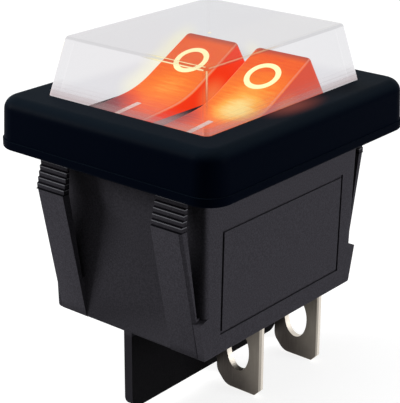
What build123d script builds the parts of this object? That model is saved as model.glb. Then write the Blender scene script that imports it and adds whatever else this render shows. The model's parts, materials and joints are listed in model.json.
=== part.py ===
from build123d import *
from math import atan, cos, degrees, radians, sin, sqrt, tan
import os

# Twin rocker switch for a panel, under a waterproof cover.
# Millimetres. The origin is the centre of the panel cut-out on the panel's outer face.
# X is the short way across both rockers, Y is the long way that each rocker tips, +Z leaves the panel.
# The rockers are at rest with their -Y ends pressed in, which is ON.

# Housing
body_w = 21.8
body_l = 26.6
body_depth = 18.8
wall_draft = 0.33
side_wall = 1.9
end_wall = 1.3
divider_t = 1.6
floor_t = 1.6
body_corner_r = 0.6
bottom_edge_r = 0.35
flange_side_margin = 1.4
flange_end_margin = 1.6
flange_t = 2.2
flange_corner_r = 1.6
flange_edge_r = 0.4
panel_line_w = 0.3
panel_line_depth = 0.22
panel_line_end_inset = 2.7
panel_line_top = 4.9
panel_line_bottom_inset = 2.3
barrier_t = 1.1
barrier_drop = 9.0
barrier_corner_r = 1.3

# Snap wings on the two ends of the housing
wing_outer_inset = 1.0
wing_w = 3.9
wing_t = 0.95
wing_root_t = 0.5
wing_reach = 2.75
wing_top_z = -0.9
wing_peak_z = -3.9
wing_root_above_bottom = 4.9
wing_tooth_count = 5
wing_tooth_depth = 0.2
wing_ramp = 0.8
wing_edge_chamfer = 0.3
wing_seat = 1.2
heel_above_bottom = 4.4
heel_top_slope = 0.4
wing_tooth_lead = 0.15

# Waterproof cover: black rim and clear dome
rim_side_wall = 2.55
rim_end_wall = 2.35
rim_h = 5.5
rim_lip_t = 1.0
rim_corner_r = 2.8
rim_edge_r = 1.4
rim_foot_edge_r = 0.3
rim_draft = 0.22
rim_bead_h = 1.0
rim_bead_step = 0.12
dome_side_room = 2.2
dome_end_room = 1.43
dome_lean_side = 1.25
dome_lean_end = 1.4
dome_headroom = 2.2
dome_wall = 0.8
dome_foot_t = 1.0
dome_corner_r = 0.6
dome_inner_corner_r = 0.3
dome_edge_r = 0.5
cover_gap = 0.1

# Rocker and what it carries
tilt = 16.0
pivot_z = -1.94
pivot_r = 1.2
pin_seat = 0.6
inner_pin_seat = 0.5
pin_end_gap = 0.3
crease_height = 6.42
crease_r = 12.0
facet_angle = 11.0
skirt_len = 8.0
rocker_wall = 1.1
rocker_side_gap = 0.45
rocker_end_gap = 0.33
rocker_edge_r = 0.4
rocker_corner_r = 0.6
rocker_cheek_y = 5.0
rocker_cheek_z = 0.5
rocker_lug_y = 2.6
rocker_lug_z = 2.8
leg_r = 2.1
plunger_show = 2.45
leg_bore_r = 1.5
leg_bore_top = 1.0
running_gap = 0.08
pin_gap = 0.05

# I and O marks, inlaid in the facets
mark_stroke = 0.6
mark_o_d = 4.1
mark_o_end_margin = 2.2
mark_i_len = 3.6
mark_i_end_margin = 2.8
mark_depth = 0.2
mark_proud = 0.04
mark_gap = 0.02

# Plunger and spring
plunger_len = 6.91
spring_wire_d = 0.35
spring_turns = 7
spring_gap = 0.15
spring_end_gap = 0.05

# Contact bar: a seesaw on the centre terminal
bar_pivot_above_floor = 1.8
bar_over_pivot = 1.0
bar_under_pivot = 0.1
bar_ratio = 0.3125
bar_wall_room = 1.85
bar_past_contact = 1.3
bar_arm_t = 0.8
bar_dish_half = 3.2
bar_heel_half = 1.8
tip_gap = 0.15
knife_gap = 0.1
bar_side_gap = 0.1
stop_rib_t = 1.2

# Contacts
contact_from_wall = 5.0
contact_head_r = 1.4
moving_head_h = 0.5
dome_h = 0.3
rivet_shank_r = 0.7
rivet_tail_h = 0.3
rivet_tail_r = 1.0
rivet_gap = 0.05
contact_gap = 0.11

# Terminals
tab_w = 6.3
tab_t = 0.8
tab_len = 10.3
tab_offset_x = 0.2
tab_inner_tip_w = 1.4
tab_inner_tip_h = 1.6
tab_inner_tip_r = 1.6
tab_outer_tip_w = 0.9
tab_outer_tip_h = 0.95
tab_hole_w = 3.1
tab_hole_h = 5.0
tab_hole_from_tip = 5.0
tab_edge_coin = 0.2
far_tab_from_wall = 1.0
shelf_wall_room = 1.5
shelf_past_contact = 1.6
ear_w_in = 0.85
ear_w_out = 1.2
ear_top = 2.2
slot_gap = 0.08

# Lamp, its tray, its resistor and its leads
lamp_r = 2.0
lamp_from_wall = 4.5
lamp_top_z = 1.2
lead_pitch = 1.4
lead_r = 0.25
lead_bend_r = 0.8
resistor_bend_r = 0.48
lead_hole_gap = 0.15
tray_above_floor = 9.2
tray_t = 1.2
tray_past_lamp = 0.2
tray_gap = 0.1
ledge_w = 0.7
ledge_t = 1.0
ledge_before_lamp_axis = 0.5
resistor_r = 0.9
resistor_cap_r = 1.05
resistor_cap_len = 0.9
resistor_edge_r = 0.3
resistor_len = 4.4
resistor_from_wall = 1.4
resistor_top_drop = 1.7
lead_run_drop = 0.75
lead_side_gap = 0.3
lead_down_above_floor = 2.5

# How far fused pieces reach into each other, and how far a cut runs past a face
lap = 0.2
runout = 1.0

# Levels and places that follow from the sizes above
chamber_w = (body_w - 2 * side_wall - divider_t) / 2
chamber_l = body_l - 2 * end_wall
chamber_x = divider_t / 2 + chamber_w / 2
floor_top = -body_depth + floor_t
bezel_z = rim_lip_t + flange_t
flange_w = body_w + 2 * flange_side_margin
flange_l = body_l + 2 * flange_end_margin
rim_w = flange_w + 2 * (rim_side_wall + cover_gap)
rim_l = flange_l + 2 * (rim_end_wall + cover_gap)
half_l = body_l / 2
half_w = body_w / 2
wing_root_z = -body_depth + wing_root_above_bottom
wing_foot_y = half_l - wall_draft
rocker_w = chamber_w - 2 * rocker_side_gap
rocker_reach = chamber_l / 2 - rocker_end_gap
facet_len = (rocker_reach - crease_height * sin(radians(tilt))) / cos(radians(tilt - facet_angle))
rocker_top_z = pivot_z + crease_height * cos(radians(tilt)) + facet_len * sin(radians(tilt + facet_angle))
mark_o_from_crease = facet_len - mark_o_end_margin - mark_o_d / 2
mark_i_from_crease = facet_len - mark_i_end_margin - mark_i_len / 2
dome_base_w = 2 * (chamber_x + rocker_w / 2 + dome_side_room)
dome_base_l = 2 * (rocker_reach + dome_end_room)
dome_top_z = rocker_top_z + dome_headroom + dome_wall
bar_pivot_z = floor_top + bar_pivot_above_floor
bar_tilt = bar_ratio * tilt
bar_w = chamber_w - 2 * bar_wall_room
knife_r = tab_t / 2
plunger_r = leg_bore_r - running_gap
tip_reach = pivot_z - (bar_pivot_z + bar_over_pivot) - tip_gap
tip_center = tip_reach - plunger_r
plunger_top = plunger_len - tip_reach
leg_len = tip_reach - plunger_show
contact_y = chamber_l / 2 - contact_from_wall
bar_half_len = contact_y + bar_past_contact
tab_center_x = chamber_x + tab_offset_x
far_tab_y = chamber_l / 2 - far_tab_from_wall
shelf_w = chamber_w - 2 * shelf_wall_room
shelf_inner_y = contact_y - shelf_past_contact
tray_top_z = floor_top + tray_above_floor
lamp_y = chamber_l / 2 - lamp_from_wall
lamp_len = lamp_top_z - tray_top_z
tray_inner_y = lamp_y - lamp_r - tray_past_lamp
ledge_inner_y = lamp_y - ledge_before_lamp_axis
resistor_y = chamber_l / 2 - resistor_from_wall
lead_side_x = chamber_x - bar_w / 2 - lead_side_gap - lead_r
lead_down_z = floor_top + lead_down_above_floor


def box_between(x, y, z):
    """A box from three pairs of limits."""
    size = Box(x[1] - x[0], y[1] - y[0], z[1] - z[0])
    return Pos((x[0] + x[1]) / 2, (y[0] + y[1]) / 2, (z[0] + z[1]) / 2) * size


def rounded_block(width, length, z_low, z_high, corner_r):
    """An upright block with rounded plan corners."""
    return Pos(0, 0, z_low) * extrude(RectangleRounded(width, length, corner_r), z_high - z_low)


def prism_x(points, x_low, x_high):
    """A Y-Z outline made solid between two X planes."""
    face = make_face(Polyline(*[(0, y, z) for y, z in points], close=True))
    return Pos(x_low, 0, 0) * extrude(face, x_high - x_low, dir=(1, 0, 0))


def rod_x(radius, x_low, x_high, y=0, z=0):
    """A round bar along X."""
    return Pos((x_low + x_high) / 2, y, z) * Rot(0, 90, 0) * Cylinder(radius, x_high - x_low)


def rod_z(radius, z_low, z_high, x=0, y=0):
    """A round bar along Z."""
    return Pos(x, y, (z_low + z_high) / 2) * Cylinder(radius, z_high - z_low)


def turn_about_x(point, angle):
    """A (y, z) point turned about the X axis through the origin."""
    a = radians(angle)
    return point[0] * cos(a) - point[1] * sin(a), point[0] * sin(a) + point[1] * cos(a)


def tilted(shape, side):
    """A piece modelled about its rocker's pivot, put in place with the rocker at rest."""
    return Pos(side * chamber_x, 0, pivot_z) * Rot(tilt, 0, 0) * shape


# Housing

def wing_front_y(z):
    """How far out the wing's front face is at a height."""
    rise = (z + body_depth) / (wing_peak_z + body_depth)
    return wing_foot_y + (half_l + wing_reach - wing_foot_y) * rise


def wing_outline():
    """The wing's side view: a leaning strip with a toothed ramp at its top."""
    pitch = (wing_top_z - wing_peak_z) / wing_tooth_count
    points = [(half_l - wing_seat, -body_depth), (wing_foot_y, -body_depth),
              (wing_front_y(wing_peak_z), wing_peak_z)]
    for tooth in range(wing_tooth_count):
        low = wing_peak_z + tooth * pitch
        out = wing_front_y(wing_peak_z) - wing_ramp * tooth / wing_tooth_count
        points.append((out - wing_tooth_depth, low + wing_tooth_lead * pitch))
        points.append((out - wing_ramp / wing_tooth_count, low + pitch))
    points[-1] = (points[-1][0], wing_top_z)
    back_top = wing_front_y(wing_top_z) - wing_t - wing_ramp
    points.append((back_top, wing_top_z))
    points.append((wing_front_y(wing_peak_z) - wing_t, wing_peak_z))
    points.append((wing_front_y(wing_root_z) - wing_root_t, wing_root_z))
    points.append((half_l - wing_seat, wing_root_z))
    return points


def wing():
    """One snap wing on the +X, +Y corner: its root block, rounded foot and, under the teeth, chamfered edge."""
    x_high = half_w - wing_outer_inset
    x_low = x_high - wing_w
    blank = prism_x(wing_outline(), x_low, x_high)
    foot_edge = blank.edges().filter_by(Axis.X).sort_by_distance((x_low, wing_foot_y, -body_depth))[0]
    blank = fillet(foot_edge, bottom_edge_r)
    lean = degrees(atan((half_l + wing_reach - wing_foot_y) / (wing_peak_z + body_depth)))
    edge = wing_edge_chamfer * sqrt(2)
    cutter = Rot(-lean, 0, 0) * Rot(0, 0, 45) * Box(edge, edge, 3 * body_depth)
    cutter = Pos(x_high, wing_foot_y, -body_depth) * cutter
    teeth = box_between((x_low, x_high + body_w), (0, body_l), (wing_peak_z, body_depth))
    return blank - (cutter - teeth)


def wing_heel():
    """The block that ties a wing's root to the +X side wall, flush with both and sloped at its top."""
    top_z = -body_depth + heel_above_bottom
    seat_y = half_l - wing_seat
    out = wing_front_y(top_z)
    outline = [(seat_y, -body_depth), (wing_foot_y, -body_depth), (out, top_z),
               (seat_y, top_z + heel_top_slope * (out - seat_y))]
    block = prism_x(outline, half_w - wing_outer_inset - lap, half_w + runout)
    between_walls = loft([Pos(0, 0, -body_depth) * Rectangle(body_w - 2 * wall_draft, 2 * body_l),
                          Rectangle(body_w, 2 * body_l)])
    block &= between_walls
    low = block.edges().group_by(Axis.Z)[0]
    return fillet([low.sort_by(Axis.Y)[-1], low.sort_by(Axis.X)[-1]], bottom_edge_r)


def panel_line():
    """The fine line cut round the flat panel of a long side, in line with the wall's draft."""
    length = body_l - 2 * panel_line_end_inset
    high = -panel_line_top
    low = -body_depth + panel_line_bottom_inset
    outer = box_between((-panel_line_depth, runout), (-length / 2, length / 2), (low, high))
    inner = box_between((-runout, 2 * runout), (-length / 2 + panel_line_w, length / 2 - panel_line_w),
                        (low + panel_line_w, high - panel_line_w))
    return Pos(half_w, 0, 0) * Rot(0, degrees(atan(wall_draft / body_depth)), 0) * (outer - inner)


def barrier():
    """The plate under the floor that keeps the two rows of terminals apart."""
    bottom = -body_depth - barrier_drop
    plate = box_between((-barrier_t / 2, barrier_t / 2), (-wing_foot_y, wing_foot_y),
                        (bottom, -body_depth + bottom_edge_r))
    corners = plate.edges().filter_by(Axis.X).group_by(Axis.Z)[0]
    return fillet(corners, barrier_corner_r)


def pivot_seats(side):
    """The blind bore in the outer wall, the bore in the divider and the ways in from above."""
    x_inner = divider_t / 2
    x_outer = x_inner + chamber_w
    bore_r = pivot_r + pin_gap
    seats = rod_x(bore_r, -lap, x_inner, 0, pivot_z)
    seats += rod_x(bore_r, x_outer, x_outer + pin_seat + pin_end_gap, 0, pivot_z)
    return seats if side > 0 else mirror(seats, Plane.YZ)


def chamber_furniture(side):
    """The tray's ledges on the walls and the rib that stops the contact bar's free end."""
    x_inner = divider_t / 2
    x_outer = x_inner + chamber_w
    z_top = tray_top_z - tray_t
    ledge_z = (z_top - ledge_t, z_top)
    ledge_y = (ledge_inner_y, half_l - end_wall + lap)
    ledges = box_between((x_inner - lap, x_inner + ledge_w), ledge_y, ledge_z)
    ledges += box_between((x_outer - ledge_w, x_outer + lap), ledge_y, ledge_z)
    rib_out = contact_y + stop_rib_t / 2
    under_arm = bar_arm_bottom()
    rest = turn_about_x((-rib_out, under_arm), bar_tilt)[1]
    rib = box_between((chamber_x - bar_w / 2, chamber_x + bar_w / 2), (-rib_out, -rib_out + stop_rib_t),
                      (floor_top - lap, bar_pivot_z + rest - contact_gap))
    furniture = ledges + rib
    return furniture if side > 0 else mirror(furniture, Plane.YZ)


def terminal_slots(side):
    """The two slots in the floor that the terminals pass through."""
    half = tab_w / 2 + slot_gap
    thick = tab_t / 2 + slot_gap
    span_x = (tab_center_x - half, tab_center_x + half)
    span_z = (-body_depth - runout, floor_top + lap)
    slots = box_between(span_x, (-thick, thick), span_z)
    slots += box_between(span_x, (far_tab_y - thick, far_tab_y + thick), span_z)
    return slots if side > 0 else mirror(slots, Plane.YZ)


def make_housing():
    """The black moulding: walls, floor, divider, bezel flange, wings, barrier and pivot seats."""
    foot = Pos(0, 0, -body_depth) * RectangleRounded(
        body_w - 2 * wall_draft, body_l - 2 * wall_draft, body_corner_r)
    body = loft([foot, RectangleRounded(body_w, body_l, body_corner_r)])
    body += rounded_block(body_w, body_l, 0, rim_lip_t + lap, body_corner_r)
    body = fillet(body.faces().sort_by(Axis.Z)[0].edges(), bottom_edge_r)
    flange = rounded_block(flange_w, flange_l, rim_lip_t, bezel_z, flange_corner_r)
    flange = fillet(flange.faces().sort_by(Axis.Z)[-1].edges(), flange_edge_r)
    shell = body + flange
    for side in (1, -1):
        chamber = box_between((divider_t / 2, divider_t / 2 + chamber_w), (-chamber_l / 2, chamber_l / 2),
                              (floor_top, bezel_z + runout))
        shell -= chamber if side > 0 else mirror(chamber, Plane.YZ)
    for plane in ((1, 1), (-1, 1), (1, -1), (-1, -1)):
        piece = wing()
        if plane[0] < 0:
            piece = mirror(piece, Plane.YZ)
        if plane[1] < 0:
            piece = mirror(piece, Plane.XZ)
        shell += piece
    heel = wing_heel()
    shell += heel
    shell += mirror(heel, Plane.XZ)
    line = panel_line()
    shell -= line
    shell -= mirror(line, Plane.YZ)
    shell += barrier()
    for side in (1, -1):
        shell += chamber_furniture(side)
        shell -= pivot_seats(side)
        shell -= terminal_slots(side)
    return shell


# Waterproof cover

def make_seal_frame():
    """The soft black rim, which grips the housing's flange and the dome's foot in one groove."""
    foot = rounded_block(rim_w, rim_l, 0, rim_bead_h, rim_corner_r)
    foot = fillet(foot.edges().group_by(Axis.Z)[0], rim_foot_edge_r)
    low = Pos(0, 0, rim_bead_h - lap) * RectangleRounded(
        rim_w - 2 * rim_bead_step, rim_l - 2 * rim_bead_step, rim_corner_r - rim_bead_step)
    shrink = rim_bead_step + rim_draft
    high = Pos(0, 0, rim_h) * RectangleRounded(rim_w - 2 * shrink, rim_l - 2 * shrink, rim_corner_r - shrink)
    wall = loft([low, high])
    wall = fillet(wall.faces().sort_by(Axis.Z)[-1].edges(), rim_edge_r)
    rim = foot + wall
    groove = rounded_block(flange_w + 2 * cover_gap, flange_l + 2 * cover_gap,
                           rim_lip_t, bezel_z + dome_foot_t, flange_corner_r + cover_gap)
    mouth = rounded_block(body_w + 2 * cover_gap, body_l + 2 * cover_gap, -runout, rim_lip_t + lap,
                          body_corner_r + cover_gap)
    window = rounded_block(dome_base_w + 2 * cover_gap, dome_base_l + 2 * cover_gap,
                           bezel_z, rim_h + runout, dome_corner_r + cover_gap)
    return rim - groove - mouth - window


def dome_body(shrink, z_high, corner_r):
    """The leaning four-sided dome, drawn in by a wall thickness."""
    lean_z = dome_top_z - rim_h
    part_way = (z_high - rim_h) / lean_z
    low = Pos(0, 0, rim_h) * RectangleRounded(
        dome_base_w - 2 * shrink, dome_base_l - 2 * shrink, corner_r)
    high = Pos(0, 0, z_high) * RectangleRounded(
        dome_base_w - 2 * (shrink + dome_lean_side * part_way),
        dome_base_l - 2 * (shrink + dome_lean_end * part_way), corner_r)
    return loft([low, high])


def make_clear_dome():
    """The clear dome, with an upright collar through the rim and a flat foot under it."""
    outer = dome_body(0, dome_top_z, dome_corner_r)
    outer = fillet(outer.faces().sort_by(Axis.Z)[-1].edges(), dome_edge_r)
    collar = rounded_block(dome_base_w, dome_base_l, bezel_z, rim_h, dome_corner_r)
    foot = rounded_block(flange_w, flange_l, bezel_z, bezel_z + dome_foot_t, flange_corner_r)
    hollow = dome_body(dome_wall, dome_top_z - dome_wall, dome_inner_corner_r)
    well = rounded_block(dome_base_w - 2 * dome_wall, dome_base_l - 2 * dome_wall,
                         bezel_z - runout, rim_h, dome_inner_corner_r)
    return outer + collar + foot - hollow - well


# Rockers, modelled about the pivot with no tilt

def facet_corner(inset=0.0):
    """The outer top corner of the +Y facet."""
    reach = facet_len - inset
    return reach * cos(radians(facet_angle)), crease_height + reach * sin(radians(facet_angle))


def rocker_half(wall):
    """The +Y half of the rocker's side view, drawn in by a wall thickness.

    The skirt leans by the tilt, so it stands upright when its end is pressed in.
    """
    top_y, top_z = facet_corner(wall)
    top_z -= wall / cos(radians(facet_angle))
    length = skirt_len + wall
    low = (top_y + length * sin(radians(tilt)), top_z - length * cos(radians(tilt)))
    return (0, crease_height - wall / cos(radians(facet_angle))), (top_y, top_z), low


def both_halves(crease, right):
    """A closed Y-Z outline from its crease and the points of its +Y half."""
    return [crease] + right + [(-y, z) for y, z in reversed(right)]


def rocker_shell():
    """The outer form: two facets that meet in a shallow round valley, end skirts and cheeks."""
    crease, top, low = rocker_half(0)
    cheek = (rocker_cheek_y, -rocker_cheek_z)
    lug = (rocker_lug_y, -rocker_lug_z)
    outline = both_halves(crease, [top, low, cheek, lug])
    solid = prism_x(outline, -rocker_w / 2, rocker_w / 2)
    valley = solid.edges().filter_by(Axis.X).sort_by_distance((0, 0, crease_height))[0]
    solid = fillet(valley, crease_r)
    corners = solid.edges().filter_by(Axis.X, reverse=True)
    solid = fillet(corners.filter_by(lambda edge: abs(edge.center().Y) > top[0] + lap), rocker_corner_r)
    top_edges = solid.edges().filter_by(lambda edge: edge.center().Z > (crease[1] + top[1]) / 2 - lap)
    return fillet(top_edges, rocker_edge_r)


def rocker_hollow():
    """The room inside the rocker, open below."""
    crease, top, low = rocker_half(rocker_wall)
    half = rocker_w / 2 - rocker_wall
    return prism_x(both_halves(crease, [top, low, (low[0], -rocker_lug_z - runout)]), -half, half)


def on_facet(shape, sign, from_crease):
    """A flat piece laid on the +Y or -Y facet."""
    place = Pos(0, 0, crease_height) * Rot(sign * facet_angle, 0, 0) * Pos(0, sign * from_crease, 0)
    return place * shape


def mark_pieces(grow, low, high):
    """The O ring on the far facet and the I bar on the near facet."""
    height = high - low
    middle = (low + high) / 2
    ring = Cylinder(mark_o_d / 2 + grow, height) - Cylinder(mark_o_d / 2 - mark_stroke - grow, height)
    stroke = Box(mark_stroke + 2 * grow, mark_i_len + 2 * grow, height)
    return (on_facet(Pos(0, 0, middle) * ring, 1, mark_o_from_crease),
            on_facet(Pos(0, 0, middle) * stroke, -1, mark_i_from_crease))


def make_rocker(side):
    """The translucent red rocker, with pivot pins at both cheeks and a hollow leg for the plunger."""
    shell = rocker_shell() - rocker_hollow()
    shell += rod_z(leg_r, -leg_len, crease_height - rocker_wall / 2)
    shell -= rod_z(leg_bore_r, -leg_len - runout, leg_bore_top)
    cheek_x = rocker_w / 2
    shell += rod_x(pivot_r, cheek_x - rocker_wall, cheek_x + rocker_side_gap + pin_seat)
    shell += rod_x(pivot_r, -cheek_x - rocker_side_gap - inner_pin_seat, -cheek_x + rocker_wall)
    for cut in mark_pieces(mark_gap, -mark_depth, runout):
        shell -= cut
    return tilted(shell if side > 0 else mirror(shell, Plane.YZ), side)


def make_marks(side):
    """The pale inlaid marks of one rocker, as two solids."""
    ring, stroke = mark_pieces(0, -mark_depth, mark_proud)
    return Compound([tilted(ring, side), tilted(stroke, side)])


def make_plunger(side):
    """The round-nosed plunger that slides in the leg."""
    body = rod_z(plunger_r, -tip_center, plunger_top)
    return tilted(body + Pos(0, 0, -tip_center) * Sphere(plunger_r), side)


def make_spring(side):
    """The coil spring between the leg's blind end and the plunger."""
    coil_r = leg_bore_r - spring_gap - spring_wire_d / 2
    low = plunger_top + spring_wire_d / 2 + spring_end_gap
    high = leg_bore_top - spring_wire_d / 2 - spring_end_gap
    path = Helix((high - low) / spring_turns, high - low, coil_r)
    section = Plane(path @ 0, z_dir=path % 0) * Circle(spring_wire_d / 2)
    return tilted(Pos(0, 0, low) * sweep(section, path, is_frenet=True), side)


# Contact bar, modelled about its pivot on the centre terminal with no tilt

def dish():
    """The circle on which the bar's top is dished: its radius and its centre's height.

    The plunger's nose follows an arc about the rocker's pivot while the bar tips the other way,
    and the dish keeps the same gap under the nose over the whole travel.
    """
    reach = tip_center
    middle = pivot_z - reach - bar_pivot_z
    y, z = reach * sin(radians(tilt)), pivot_z - reach * cos(radians(tilt)) - bar_pivot_z
    y, z = turn_about_x((y, z), bar_tilt)
    rise = z - middle
    nose_radius = (y * y + rise * rise) / (2 * rise)
    return nose_radius + plunger_r + tip_gap, middle + nose_radius


def bar_arm_top():
    """The height of the arms' upper face above the bar's pivot."""
    radius, center = dish()
    return center - sqrt(radius * radius - bar_dish_half * bar_dish_half)


def bar_arm_bottom():
    """The height of the arms' lower face above the bar's pivot."""
    return bar_arm_top() - bar_arm_t


def bar_place(shape, side):
    """A piece of the seesaw, put in place with the far contact closed."""
    return Pos(side * chamber_x, 0, bar_pivot_z) * Rot(-bar_tilt, 0, 0) * shape


def make_contact_bar(side):
    """The seesaw strip: a dished middle, a grooved heel and two level arms."""
    top = bar_arm_top()
    bottom = bar_arm_bottom()
    right = [(bar_heel_half, bar_under_pivot), (bar_dish_half + lap, bottom), (bar_half_len, bottom),
             (bar_half_len, top)]
    left = [(-y, z) for y, z in reversed(right)]
    strip = prism_x(right + left, -bar_w / 2, bar_w / 2)
    radius, center = dish()
    strip -= rod_x(radius, -bar_w, bar_w, 0, center)
    strip -= rod_x(knife_r + knife_gap, -bar_w, bar_w)
    strip -= rod_z(rivet_shank_r + rivet_gap, 0, 2 * top, 0, contact_y)
    return bar_place(strip, side)


def make_moving_contact(side):
    """The silver rivet in the bar's far arm."""
    top = bar_arm_top()
    bottom = bar_arm_bottom()
    rivet = rod_z(contact_head_r, bottom - moving_head_h, bottom, 0, contact_y)
    rivet += rod_z(rivet_shank_r, bottom - lap, top + lap, 0, contact_y)
    rivet += rod_z(rivet_tail_r, top, top + rivet_tail_h, 0, contact_y)
    return bar_place(rivet, side)


def closed_contact():
    """Where the moving contact's face is, as (y, z), when the rocker is at rest."""
    y, z = turn_about_x((contact_y, bar_arm_bottom() - moving_head_h), -bar_tilt)
    return y, bar_pivot_z + z


# Terminals, on the +X side

def tab(y, z_top):
    """A blade with coined edges, an oblong hole and a tip that is rounded on its inner side."""
    tip = -body_depth - tab_len
    half = tab_w / 2
    outline = [(-half, z_top), (half, z_top), (half, tip + tab_outer_tip_h),
               (half - tab_outer_tip_w, tip), (-half + tab_inner_tip_w, tip),
               (-half, tip + tab_inner_tip_h)]
    face = make_face(Polyline(*[(x, 0, z) for x, z in outline], close=True))
    blade = extrude(face, tab_t / 2, dir=(0, 1, 0), both=True)
    inner_tip = blade.edges().filter_by(Axis.Y).sort_by_distance((-half, 0, tip))[:2]
    blade = fillet(inner_tip, tab_inner_tip_r)
    long_edges = blade.edges().filter_by(Axis.Z)
    blade = chamfer(long_edges, tab_edge_coin)
    hole = Pos(0, 0, tip + tab_hole_from_tip) * Rot(90, 0, 0) * extrude(
        Ellipse(tab_hole_w / 2, tab_hole_h / 2), tab_t, both=True)
    return Pos(tab_center_x, y, 0) * (blade - hole)


def make_center_terminal(side):
    """The centre terminal: a blade, a head on the floor, a knife edge for the bar and two ears."""
    blade = tab(0, floor_top + lap)
    inner = chamber_x - bar_w / 2 - bar_side_gap
    outer = chamber_x + bar_w / 2 + bar_side_gap
    half = tab_t / 2
    head = box_between((inner - ear_w_in, outer + ear_w_out), (-half, half), (floor_top, bar_pivot_z))
    ears = box_between((inner - ear_w_in, inner), (-half, half), (floor_top, bar_pivot_z + ear_top))
    ears += box_between((outer, outer + ear_w_out), (-half, half), (floor_top, bar_pivot_z + ear_top))
    terminal = blade + head + ears + rod_x(knife_r, inner, outer, 0, bar_pivot_z)
    return terminal if side > 0 else mirror(terminal, Plane.YZ)


def make_far_terminal(side):
    """The far terminal: a blade bent over into a shelf on the floor, which carries the fixed contact."""
    shelf_top = floor_top + tab_t
    blade = tab(far_tab_y, shelf_top)
    outer_y = far_tab_y + tab_t / 2
    shelf = box_between((chamber_x - shelf_w / 2, chamber_x + shelf_w / 2), (shelf_inner_y, outer_y),
                        (floor_top, shelf_top))
    terminal = blade + shelf
    rivet_y = closed_contact()[0]
    terminal -= rod_z(rivet_shank_r + rivet_gap, floor_top - lap, shelf_top + lap, chamber_x, rivet_y)
    return terminal if side > 0 else mirror(terminal, Plane.YZ)


def make_fixed_contact(side):
    """The domed silver contact on the far terminal's shelf."""
    y, z = closed_contact()
    shelf_top = floor_top + tab_t
    top = z - contact_gap
    sphere_r = (contact_head_r ** 2 + dome_h ** 2) / (2 * dome_h)
    head = rod_z(contact_head_r, shelf_top, top) & (Pos(0, 0, top - sphere_r) * Sphere(sphere_r))
    rivet = Pos(0, y, 0) * (head + rod_z(rivet_shank_r, floor_top, shelf_top + lap))
    return Pos(side * chamber_x, 0, 0) * rivet


# Lamp and its wiring, on the +X side

def lamp_lead_points():
    """The wire from the lamp to the centre terminal's inner ear."""
    x = chamber_x - lead_pitch / 2
    run_z = tray_top_z - tray_t - lead_run_drop
    ear_face = tab_t / 2
    return [(x, lamp_y, tray_top_z), (x, lamp_y, run_z), (lead_side_x, lamp_y, run_z),
            (lead_side_x, lamp_y, lead_down_z), (lead_side_x, ear_face, lead_down_z)]


def resistor_lead_points():
    """The wire from the lamp to the resistor's upper end."""
    x = chamber_x + lead_pitch / 2
    run_z = tray_top_z - tray_t - lead_run_drop
    return [(x, lamp_y, tray_top_z), (x, lamp_y, run_z), (x, resistor_y, run_z),
            (x, resistor_y, resistor_top_z())]


def resistor_top_z():
    """The height of the resistor's upper end, just below the tray."""
    return tray_top_z - tray_t - resistor_top_drop


def wire(points, radius):
    """A round wire along straight runs with rounded bends."""
    path = FilletPolyline(*points, radius=radius)
    section = Plane(path @ 0, z_dir=path % 0) * Circle(lead_r)
    return sweep(section, path)


def make_lamp(side):
    """The round-topped glass lamp, which stands on its tray."""
    straight = lamp_len - lamp_r
    bulb = rod_z(lamp_r, tray_top_z, tray_top_z + straight, chamber_x, lamp_y)
    bulb += Pos(chamber_x, lamp_y, tray_top_z + straight) * Sphere(lamp_r)
    return bulb if side > 0 else mirror(bulb, Plane.YZ)


def make_lamp_tray(side):
    """The insulating tray on the housing's ledges, with a hole for each lamp lead."""
    x_low = divider_t / 2 + tray_gap
    x_high = divider_t / 2 + chamber_w - tray_gap
    tray = box_between((x_low, x_high), (tray_inner_y, half_l - end_wall - tray_gap),
                       (tray_top_z - tray_t, tray_top_z))
    for shift in (-lead_pitch / 2, lead_pitch / 2):
        tray -= rod_z(lead_r + lead_hole_gap, tray_top_z - tray_t - runout, tray_top_z + runout,
                      chamber_x + shift, lamp_y)
    return tray if side > 0 else mirror(tray, Plane.YZ)


def make_resistor(side):
    """The resistor below the tray, upright between the lamp and the far terminal."""
    x = chamber_x + lead_pitch / 2
    high = resistor_top_z()
    low = high - resistor_len
    body = rod_z(resistor_r, low, high, x, resistor_y)
    body += rod_z(resistor_cap_r, low, low + resistor_cap_len, x, resistor_y)
    body += rod_z(resistor_cap_r, high - resistor_cap_len, high, x, resistor_y)
    body = fillet(body.edges().group_by(Axis.Z)[0] + body.edges().group_by(Axis.Z)[-1], resistor_edge_r)
    return body if side > 0 else mirror(body, Plane.YZ)


def make_lamp_leads(side):
    """The three wires of one lamp circuit, as separate solids."""
    x = chamber_x + lead_pitch / 2
    low = resistor_top_z() - resistor_len
    pieces = [wire(lamp_lead_points(), lead_bend_r), wire(resistor_lead_points(), resistor_bend_r),
              rod_z(lead_r, floor_top + tab_t, low, x, resistor_y)]
    if side < 0:
        pieces = [mirror(piece, Plane.YZ) for piece in pieces]
    return Compound(pieces)


os.makedirs("parts", exist_ok=True)
nodes = {"housing": make_housing(), "seal_frame": make_seal_frame(), "clear_dome": make_clear_dome()}
makers = {
    "rocker": make_rocker,
    "rocker_marks": make_marks,
    "plunger": make_plunger,
    "plunger_spring": make_spring,
    "contact_bar": make_contact_bar,
    "moving_contact": make_moving_contact,
    "center_terminal": make_center_terminal,
    "far_terminal": make_far_terminal,
    "fixed_contact": make_fixed_contact,
    "lamp": make_lamp,
    "lamp_tray": make_lamp_tray,
    "resistor": make_resistor,
    "lamp_leads": make_lamp_leads,
}
for name, side in (("left", -1), ("right", 1)):
    for piece, maker in makers.items():
        nodes[f"{name}_{piece}"] = maker(side)
for name, shape in nodes.items():
    export_step(shape, f"parts/{name}.step")
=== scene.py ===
"""Dresses the twin panel rocker switch: finishes, rounded edges, stage, lamps and camera."""

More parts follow.
